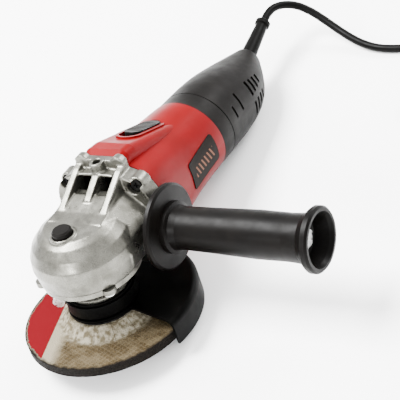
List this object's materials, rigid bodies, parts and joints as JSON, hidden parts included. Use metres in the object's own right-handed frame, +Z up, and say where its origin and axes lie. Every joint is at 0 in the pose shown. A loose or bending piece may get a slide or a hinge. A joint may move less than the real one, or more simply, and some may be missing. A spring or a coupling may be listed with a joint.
{
  "type": "angle grinder",
  "caption": "Corded hand-held angle grinder with a grinding wheel under a half guard, a die-cast gear head, a side handle and a coiled lead.",
  "frame": {"origin": "on the floor under the middle of the tool's box, measured without the free cord", "axes": "+Y from the wheel to the cable end, +X along the side handle, +Z up from the floor the tool rests on"},
  "size_m": [0.2911, 0.3615, 0.1019],
  "materials": {
    "abrasive": "resin-bonded abrasive grain, matt",
    "black_steel": "black oxide",
    "steel": "plain",
    "gear_steel": "machined",
    "brass": "plain",
    "guard_steel": "matt black powder coat",
    "cast_silver": "die cast, fine grain",
    "black_plastic": "fine texture",
    "copper": "varnished copper",
    "black_rubber": "matt",
    "carbon": "pressed carbon",
    "red_plastic": "satin",
    "badge": "satin",
    "cord_rubber": "satin",
    "grip_plastic": "satin",
    "plug_brass": "nickel plated"
  },
  "bodies": {
    "tool_body": {"spindle_bearing": "steel", "spindle_bush": "brass", "bearing_cover": "cast_silver", "bearing_cover_screws": "steel", "gear_housing": "cast_silver", "gear_housing_screws": "black_steel", "lock_spring": "steel", "front_motor_bearing": "steel", "rear_motor_bearing": "steel", "rear_bearing_sleeve": "black_rubber", "air_baffle": "black_plastic", "stator_core": "gear_steel", "field_coils": "copper", "brush_holders": "brass", "carbon_brushes": "carbon", "brush_springs": "steel", "motor_housing": "red_plastic", "housing_badge": "badge", "switch_block": "black_plastic", "suppressor_capacitor": "badge", "handle_screws": "steel", "cable_boot": "black_rubber", "cord_inner_end": "cord_rubber", "cable_clamp": "black_plastic", "cable_clamp_screws": "steel", "side_handle_grip": "grip_plastic", "side_handle_bolt": "steel", "rear_handle_top": "black_plastic", "rear_handle_bottom": "black_plastic", "power_cord": "cord_rubber", "cord_coil": "cord_rubber", "cord_tie": "black_plastic", "plug_body": "cord_rubber", "plug_pins": "plug_brass"},
    "spindle_set": {"grinding_wheel": "abrasive", "inner_flange": "black_steel", "lock_nut": "black_steel", "spindle": "steel", "spindle_key": "steel", "spindle_circlip": "steel", "bevel_gear": "gear_steel"},
    "armature": {"armature_shaft": "steel", "pinion_gear": "gear_steel", "armature_core": "gear_steel", "armature_windings": "copper", "commutator": "copper", "cooling_fan": "black_plastic"},
    "lock_button_set": {"lock_button": "black_plastic", "lock_pin": "steel"},
    "guard_set": {"wheel_guard": "guard_steel", "guard_clamp_band": "guard_steel", "guard_clamp_screw": "steel"},
    "slider": {"switch_slider": "black_plastic"},
    "push_rod": {"switch_push_rod": "black_plastic"}
  },
  "joints": [
    {"name": "spindle_spin", "type": "hinge", "parent": "tool_body", "child": "spindle_set", "pos_m": [-0.04703, -0.10464, 0.03957], "axis": [0, 0.1422, 0.9898], "continuous": true},
    {"name": "armature_spin", "type": "hinge", "parent": "tool_body", "child": "armature", "pos_m": [-0.04703, -0.013, 0.04459], "axis": [0, 0.9898, -0.1422], "continuous": true},
    {"name": "lock_button_press", "type": "slide", "parent": "tool_body", "child": "lock_button_set", "axis": [0, -0.1422, -0.9898], "range_m": [0, 0.004], "stiffness_N_per_m": 600, "springref_m": -0.002, "deforming": ["lock_spring"]},
    {"name": "switch_slide", "type": "slide", "parent": "tool_body", "child": "slider", "axis": [0, -0.8815, 0.4721], "range_m": [0, 0.006]},
    {"name": "push_rod_slide", "type": "slide", "parent": "tool_body", "child": "push_rod", "axis": [0, -0.9898, 0.1422], "range_m": [0, 0.00565]},
    {"name": "guard_swivel", "type": "hinge", "parent": "tool_body", "child": "guard_set", "pos_m": [-0.04703, -0.10607, 0.02967], "axis": [0, 0.1422, 0.9898], "range_deg": [-90, 90]}
  ],
  "couplings": [
    {"joint": "armature_spin", "follows": "spindle_spin", "ratio": 3.1429},
    {"joint": "push_rod_slide", "follows": "switch_slide", "ratio": 0.93969}
  ]
}
